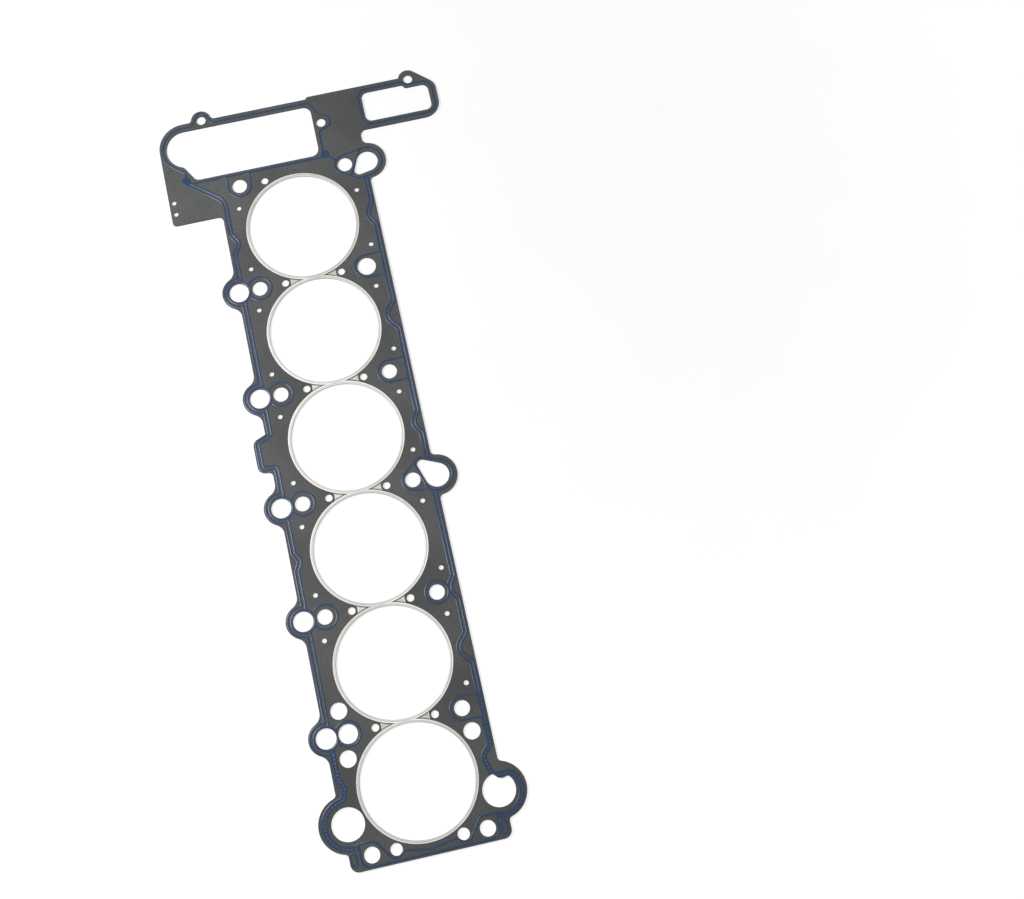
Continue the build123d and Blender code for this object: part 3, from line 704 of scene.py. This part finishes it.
@dataclass(frozen=True)
class PlateSteelFinish(Finish):
    """Bright cold-rolled plate with streaks along the bridge, dull cut edges, and a painted shadow
    along the edge of each ring's flange.
    """

    name: str = "rolled_plate_steel"
    bright: Colour = (0.52, 0.52, 0.49)
    dull: Colour = (0.36, 0.355, 0.335)
    cut_edge: Colour = (0.16, 0.155, 0.145)
    spot: Colour = (0.24, 0.225, 0.19)
    # Painted shadow: a dark band on the plate along each ring's flange, where the flange shades
    # it.
    flange_shadow: Colour = (0.045, 0.043, 0.040)
    flange_shadow_width: float = 0.95 * MM
    flange_shadow_core: float = 0.4
    flange_shadow_strength: float = 0.9
    streak_length: float = 9.0 * MM
    streak_width: float = 0.5 * MM
    spot_size: float = 1.5 * MM
    spot_threshold: float = 0.66
    spot_strength: float = 0.6
    flatness: float = 0.6
    smooth: float = 0.34
    rough: float = 0.48
    relief_depth: float = 0.01 * MM
    relief_strength: float = 0.3

    def paint(self, wiring: Wiring, shader: bpy.types.Node) -> None:
        """Fill the material.

        Args:
            wiring: Tree of the material.
            shader: Its Principled shader.
        """
        across, along, _ = wiring.own_axes()
        streaks = wiring.effect(
            RollingStreaks().tree(),
            Along=across,
            Across=along,
            Streak_Length=self.streak_length,
            Streak_Width=self.streak_width,
        )
        spots = wiring.effect(
            Specks().tree(), Spot_Size=self.spot_size, Threshold=self.spot_threshold
        )
        wall = wiring.effect(Wall().tree(), Flatness=self.flatness)
        radius, _ = self.bore_reach(wiring)
        flange_shadow_end = ENGINE.flange_radius + self.flange_shadow_width
        flange_shadow_full = ENGINE.flange_radius + self.flange_shadow_core * self.flange_shadow_width
        flange_shadow_mask = wiring.ease(radius, flange_shadow_end, flange_shadow_full)
        streak = streaks.outputs["Streak"]
        colour = wiring.blend(streak, self.bright, self.dull)
        colour = wiring.coat(colour, self.spot, spots.outputs["Mask"], self.spot_strength)
        # Painted shadow in a band just outside each ring's flange.
        colour = wiring.coat(colour, self.flange_shadow, flange_shadow_mask, self.flange_shadow_strength)
        colour = wiring.blend(wall.outputs["Mask"], colour, self.cut_edge)
        wiring.feed(shader.inputs["Base Color"], colour)
        shader.inputs["Metallic"].default_value = 1.0
        wiring.feed(shader.inputs["Roughness"], wiring.between(streak, self.smooth, self.rough))
        self.emboss(wiring, shader, streak, self.relief_depth, self.relief_strength)


@dataclass(frozen=True)
class BeadFinish(Finish):
    """Blue printed elastomer, paler along the crown of the line as a painted highlight."""

    name: str = "blue_elastomer"
    foot: Colour = (0.003, 0.026, 0.082)
    # Crown colour: painted highlight along the top of the bead.
    crown: Colour = (0.003, 0.033, 0.104)
    worn: Colour = (0.014, 0.050, 0.112)
    crown_highlight_start: float = 0.5
    crown_highlight_end: float = 0.98
    grain_size: float = 0.7 * MM
    patch_size: float = 11.0 * MM
    grain_share: float = 0.5
    mottle_strength: float = 0.35
    worn_size: float = 1.2 * MM
    worn_threshold: float = 0.64
    worn_strength: float = 0.5
    smooth: float = 0.26
    rough: float = 0.38
    gloss: float = 0.5
    relief_depth: float = 0.02 * MM
    relief_strength: float = 0.15

    def paint(self, wiring: Wiring, shader: bpy.types.Node) -> None:
        """Fill the material.

        Args:
            wiring: Tree of the material.
            shader: Its Principled shader.
        """
        _, _, height = wiring.own_axes()
        low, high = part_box("main_bead_upper")
        out = wiring.sum(Sum.SIZE, wiring.sum(Sum.SUBTRACT, height, ENGINE.middle))
        foot_height, bead_height = low.z - ENGINE.middle, high.z - low.z
        # Painted highlight: the bead gets paler towards its crown.
        crown_highlight_mask = wiring.ease(
            out,
            foot_height + self.crown_highlight_start * bead_height,
            foot_height + self.crown_highlight_end * bead_height,
        )
        mottle = wiring.effect(
            Mottle().tree(),
            Grain_Size=self.grain_size,
            Patch_Size=self.patch_size,
            Grain_Share=self.grain_share,
        )
        specks = wiring.effect(
            Specks().tree(), Spot_Size=self.worn_size, Threshold=self.worn_threshold
        )
        colour = wiring.blend(crown_highlight_mask, self.foot, self.crown)
        colour = wiring.coat(colour, self.foot, mottle.outputs["Tone"], self.mottle_strength)
        colour = wiring.coat(colour, self.worn, specks.outputs["Mask"], self.worn_strength)
        grain = mottle.outputs["Grain"]
        wiring.feed(shader.inputs["Base Color"], colour)
        wiring.feed(shader.inputs["Roughness"], wiring.between(grain, self.smooth, self.rough))
        shader.inputs["Specular IOR Level"].default_value = self.gloss
        self.emboss(wiring, shader, grain, self.relief_depth, self.relief_strength)


@dataclass(frozen=True)
class FloorFinish(Finish):
    """White paper sweep that shows as plain white and keeps the part's shadow."""

    name: str = "white_paper"
    paper: Colour = (0.38, 0.38, 0.38)
    fibre: Colour = (0.40, 0.40, 0.40)
    lift: float = 0.67
    far_lift: float = 0.89
    near_reach: float = 0.05
    far_reach: float = 0.9
    grain_size: float = 1.5 * MM
    patch_size: float = 80.0 * MM
    grain_share: float = 0.5
    roughness: float = 0.9

    def paint(self, wiring: Wiring, shader: bpy.types.Node) -> None:
        """Fill the material.

        Args:
            wiring: Tree of the material.
            shader: Its Principled shader.
        """
        mottle = wiring.effect(
            Mottle().tree(),
            Grain_Size=self.grain_size,
            Patch_Size=self.patch_size,
            Grain_Share=self.grain_share,
        )
        across, along, _ = wiring.own_axes()
        reach = wiring.flat_length(across, along)
        far_mask = wiring.ease(reach, self.near_reach, self.far_reach)
        lift = wiring.between(far_mask, self.lift, self.far_lift)
        colour = wiring.blend(mottle.outputs["Tone"], self.paper, self.fibre)
        glow = wiring.sum(Sum.MULTIPLY, seen_rays(wiring), lift)
        wiring.feed(shader.inputs["Base Color"], colour)
        shader.inputs["Roughness"].default_value = self.roughness
        shader.inputs["Specular IOR Level"].default_value = 0.0
        wiring.feed(shader.inputs["Emission Color"], WHITE)
        wiring.feed(shader.inputs["Emission Strength"], glow)


def seen_rays(wiring: Wiring) -> Socket:
    """Mark the rays that show the background: straight from the camera, or by gloss or glass.

    Args:
        wiring: Tree to fill.

    Returns:
        Socket of the mask.
    """
    rays = wiring.add("LightPath").outputs
    straight_or_gloss = wiring.sum(Sum.MAXIMUM, rays["Is Camera Ray"], rays["Is Glossy Ray"])
    return wiring.sum(Sum.MAXIMUM, straight_or_gloss, rays["Is Transmission Ray"])


def link_mesh(
    name: str, shape: bmesh.types.BMesh, sharp_angle: float = SHARP_ANGLE
) -> bpy.types.Object:
    """Turn a bmesh into a smooth-shaded object whose sharp edges stay sharp.

    Args:
        name: Name of the new object.
        shape: Its mesh, which is used up.
        sharp_angle: Angle between faces above which an edge stays sharp.

    Returns:
        The new object, linked to the scene.
    """
    for edge in shape.edges:
        edge.smooth = edge.calc_face_angle(0.0) < sharp_angle
    for face in shape.faces:
        face.smooth = True
    mesh = bpy.data.meshes.new(name)
    shape.to_mesh(mesh)
    shape.free()
    piece = bpy.data.objects.new(name, mesh)
    bpy.context.scene.collection.objects.link(piece)
    return piece


def seat(piece: bpy.types.Object, node: str, finish: Finish, slot: str) -> bpy.types.Object:
    """Dress a new piece and let it stand for a CAD node.

    Args:
        piece: New object, in place.
        node: CAD node that it stands for.
        finish: Its finish.
        slot: Not used.

    Returns:
        The same piece.
    """
    piece.data.materials.clear()
    piece.data.materials.append(finish.material())
    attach(piece, BODY)
    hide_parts(node)
    return piece


def dress_node(node: str, finish: Finish) -> bpy.types.Object:
    """Give a CAD node that stays its finish.

    Args:
        node: Name of the node.
        finish: Its finish.

    Returns:
        The node's object.
    """
    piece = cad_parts[node]
    if not piece.material_slots:
        piece.data.materials.append(None)
    for slot in piece.material_slots:
        slot.material = finish.material()
    return piece


@dataclass
class GasketSheet:
    """The punched sheet: facing on both faces of its core."""

    node: str = "gasket_sheet"
    finish: FacingFinish = field(default_factory=FacingFinish)

    def build(self) -> Iterator[bpy.types.Object]:
        """Dress the sheet."""
        yield dress_node(self.node, self.finish)


@dataclass
class BridgePlates:
    """Bow-tie plates between neighbouring bores."""

    prefix: str = "bridge_plate_"
    finish: PlateSteelFinish = field(default_factory=PlateSteelFinish)

    def build(self) -> Iterator[bpy.types.Object]:
        """Dress each plate."""
        for number in range(1, ENGINE.count):
            yield dress_node(f"{self.prefix}{number}", self.finish)


@dataclass
class FireRings:
    """U-section rings, folded round the bore edges and trimmed flat where two meet."""

    prefix: str = "fire_ring_"
    slot: str = "stainless"
    segments: int = 360
    metal: float = 0.25 * MM
    slot_wall: float = 0.5 * MM
    fold_radius: float = 0.6 * MM
    fold_steps: int = 8
    step_start: float = 1.25 * MM
    step_middle: float = 1.4 * MM
    step_end: float = 1.55 * MM
    step_depth: float = 0.02 * MM
    flange_drop: float = 0.01 * MM
    edge_break: float = 0.05 * MM
    least_way: float = 1e-6
    finish: RingSteelFinish = field(default_factory=RingSteelFinish)

    def half_section(self) -> list[SectionPoint]:
        """Lay out the upper outside of the section, from the fold's middle to the trimmed edge.

        Returns:
            Points as distance from the bore wall and height over the section's middle.
        """
        fold_top = ENGINE.half_height
        flange_top = fold_top - self.flange_drop
        under = fold_top - self.metal
        edge = ENGINE.flange_reach
        points = []
        for index in range(self.fold_steps + 1):
            angle = pi / 2 * index / self.fold_steps
            out = self.fold_radius * (1 - cos(angle))
            rise = fold_top - self.fold_radius * (1 - sin(angle))
            points.append((out, rise))
        return points + [
            (self.step_start, fold_top),
            (self.step_middle, fold_top - self.step_depth),
            (self.step_end, flange_top),
            (edge - self.edge_break, flange_top),
            (edge, flange_top - self.edge_break),
            (edge, under),
            (self.slot_wall, under),
        ]

    def section(self) -> list[SectionPoint]:
        """Close the U-section.

        Returns:
            Points as distance from the bore wall and height over the section's middle.
        """
        upper = self.half_section()
        return upper + [(out, -rise) for out, rise in reversed(upper)]

    def trimmed(self, out: float, limit: float) -> float:
        """Draw the flange in where the ring is trimmed.

        Args:
            out: Distance of a section point from the bore wall.
            limit: Distance of the trimmed edge from the bore wall.

        Returns:
            Distance of the point from the bore wall in the trimmed section.
        """
        if out <= self.step_end:
            return out
        full_width = ENGINE.flange_reach - self.step_end
        return self.step_end + (out - self.step_end) * (limit - self.step_end) / full_width

    def ring_shape(self, number: int) -> bmesh.types.BMesh:
        """Sweep the section round one bore.

        Args:
            number: Cylinder, counted from 1.

        Returns:
            Closed mesh of the ring.
        """
        low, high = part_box(f"{self.prefix}{number}")
        axis_y = ENGINE.axis_y(number)
        section = self.section()
        shape = bmesh.new()
        loops = []
        for index in range(self.segments):
            angle = 2 * pi * index / self.segments
            way_x, way_y = cos(angle), sin(angle)
            reach = high.y - axis_y if way_y > 0 else axis_y - low.y
            edge = min(ENGINE.flange_radius, reach / max(abs(way_y), self.least_way))
            limit = edge - ENGINE.bore_radius
            loop = []
            for out, rise in section:
                radius = ENGINE.bore_radius + self.trimmed(out, limit)
                place = (radius * way_x, axis_y + radius * way_y, ENGINE.middle + rise)
                loop.append(shape.verts.new(place))
            loops.append(loop)
        for loop, next_loop in zip(loops, loops[1:] + loops[:1]):
            for spot in range(len(section)):
                after = (spot + 1) % len(section)
                shape.faces.new((loop[spot], loop[after], next_loop[after], next_loop[spot]))
        bmesh.ops.recalc_face_normals(shape, faces=shape.faces)
        return shape

    def build(self) -> Iterator[bpy.types.Object]:
        """Make and dress each ring.

        Returns:
            The rings, one after the other.
        """
        for number in range(1, ENGINE.count + 1):
            piece = link_mesh(f"folded_ring_{number}", self.ring_shape(number))
            yield seat(piece, f"{self.prefix}{number}", self.finish, self.slot)


@dataclass
class SealingBeads:
    """Printed beads with a rounded crown, on both faces of the sheet."""

    lines: tuple[str, ...] = ("main_bead", "case_bead", "corner_bead_left", "corner_bead_right")
    slot: str = "bead_blue"
    weld: float = 0.05 * MM
    flat_limit: float = 0.9
    sharp_angle: float = radians(60)
    crown_insets: tuple[float, ...] = (0.0, 0.12 * MM, 0.24 * MM, 0.2 * MM)
    crown_rises: tuple[float, ...] = (0.3, 0.5, 0.86, 1.0)
    finish: BeadFinish = field(default_factory=BeadFinish)

    def crowned(self, node: str, face: Face) -> bmesh.types.BMesh:
        """Round the crown of a flat-topped bead.

        Args:
            node: CAD node of the bead.
            face: Side of the sheet that it is on.

        Returns:
            Mesh of the bead with a domed crown.
        """
        low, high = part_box(node)
        height = high.z - low.z
        foot = low.z if face is Face.UPPER else high.z
        shape = bmesh.new()
        shape.from_mesh(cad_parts[node].data)
        bmesh.ops.remove_doubles(shape, verts=shape.verts, dist=self.weld)
        shape.normal_update()
        crown = [flat for flat in shape.faces if flat.normal.z * face.value > self.flat_limit]
        for inset, rise in zip(self.crown_insets, self.crown_rises):
            if inset:
                bmesh.ops.inset_region(shape, faces=crown, thickness=inset, use_even_offset=False)
            for point in {point for flat in crown for point in flat.verts}:
                point.co.z = foot + face.value * rise * height
        shape.normal_update()
        return shape

    def build(self) -> Iterator[bpy.types.Object]:
        """Make and dress each bead.

        Returns:
            The beads, one after the other.
        """
        for face in Face:
            for line in self.lines:
                node = f"{line}_{face.name.lower()}"
                shape = self.crowned(node, face)
                piece = link_mesh(f"crowned_{node}", shape, self.sharp_angle)
                yield seat(piece, node, self.finish, self.slot)


@dataclass
class Studio:
    """Pale floor, soft light and the camera of the photograph."""

    floor_half_size: float = 8.0
    floor_squares: int = 4
    floor_drop: float = 0.1 * MM
    key_place: tuple[float, float, float] = (-0.42, -0.05, 0.65)
    key_length: float = 0.42
    key_width: float = 0.2
    key_power: float = 5.1
    key_target: tuple[float, float, float] = (0.0, -0.05, 0.0)
    sky_level: float = 0.3
    lens: float = 54.963
    sensor_width: float = 36.0
    camera_place: tuple[float, float, float] = (0.056452, -0.499572, 1.202972)
    camera_turn: tuple[float, float, float] = (13.44480, -0.29135, -12.70743)
    clip_start: float = 0.01

    def floor(self) -> bpy.types.Object:
        """Lay the floor just under the part.

        Returns:
            The floor.
        """
        squares = self.floor_squares
        level = CAD_BOX[0].z - self.floor_drop
        shape = bmesh.new()
        bmesh.ops.create_grid(
            shape, x_segments=squares, y_segments=squares, size=self.floor_half_size
        )
        bmesh.ops.translate(shape, verts=shape.verts, vec=(0.0, 0.0, level))
        piece = link_mesh("floor", shape)
        piece.data.materials.append(FloorFinish().material())
        return piece

    def key_light(self) -> bpy.types.Object:
        """Hang the strip light that draws a line of light along each bead.

        Returns:
            The lamp.
        """
        lamp = bpy.data.lights.new("key_light", "AREA")
        lamp.shape = "RECTANGLE"
        lamp.size = self.key_length
        lamp.size_y = self.key_width
        lamp.energy = self.key_power
        piece = bpy.data.objects.new("key_light", lamp)
        bpy.context.scene.collection.objects.link(piece)
        piece.visible_camera = False
        piece.location = self.key_place
        aim = Vector(self.key_target) - Vector(self.key_place)
        piece.rotation_euler = aim.to_track_quat("-Z", "Y").to_euler()
        return piece

    def sky(self) -> None:
        """Surround the part with plain white, dimmed where it lights the part."""
        world = bpy.data.worlds.new("white_studio")
        world.use_nodes = True
        bpy.context.scene.world = world
        wiring = Wiring(world.node_tree)
        background = world.node_tree.nodes["Background"]
        level = wiring.between(seen_rays(wiring), self.sky_level, 1.0)
        wiring.feed(background.inputs["Color"], WHITE)
        wiring.feed(background.inputs["Strength"], level)

    def camera(self) -> bpy.types.Object:
        """Place the camera of the photograph.

        Returns:
            The camera.
        """
        lens = bpy.data.cameras.new("photo_camera")
        lens.sensor_fit = "HORIZONTAL"
        lens.sensor_width = self.sensor_width
        lens.lens = self.lens
        lens.clip_start = self.clip_start
        piece = bpy.data.objects.new("photo_camera", lens)
        bpy.context.scene.collection.objects.link(piece)
        piece.location = self.camera_place
        piece.rotation_euler = [radians(angle) for angle in self.camera_turn]
        bpy.context.scene.camera = piece
        return piece

    def build(self) -> Iterator[bpy.types.Object]:
        """Set up the whole studio.

        Returns:
            The floor, the lamp and the camera.
        """
        bpy.context.scene.view_settings.view_transform = "Standard"
        self.sky()
        yield self.floor()
        yield self.key_light()
        yield self.camera()


def main() -> None:
    """Build every sub-assembly in order and report each piece."""
    logging.basicConfig(level=logging.INFO, format="%(message)s")
    for assembly in (GasketSheet(), BridgePlates(), FireRings(), SealingBeads(), Studio()):
        for piece in assembly.build():
            faces = len(piece.data.polygons) if piece.type == "MESH" else 0
            LOGGER.info("%s: %s, %d faces", type(assembly).__name__, piece.name, faces)


if __name__ == "__main__":
    main()
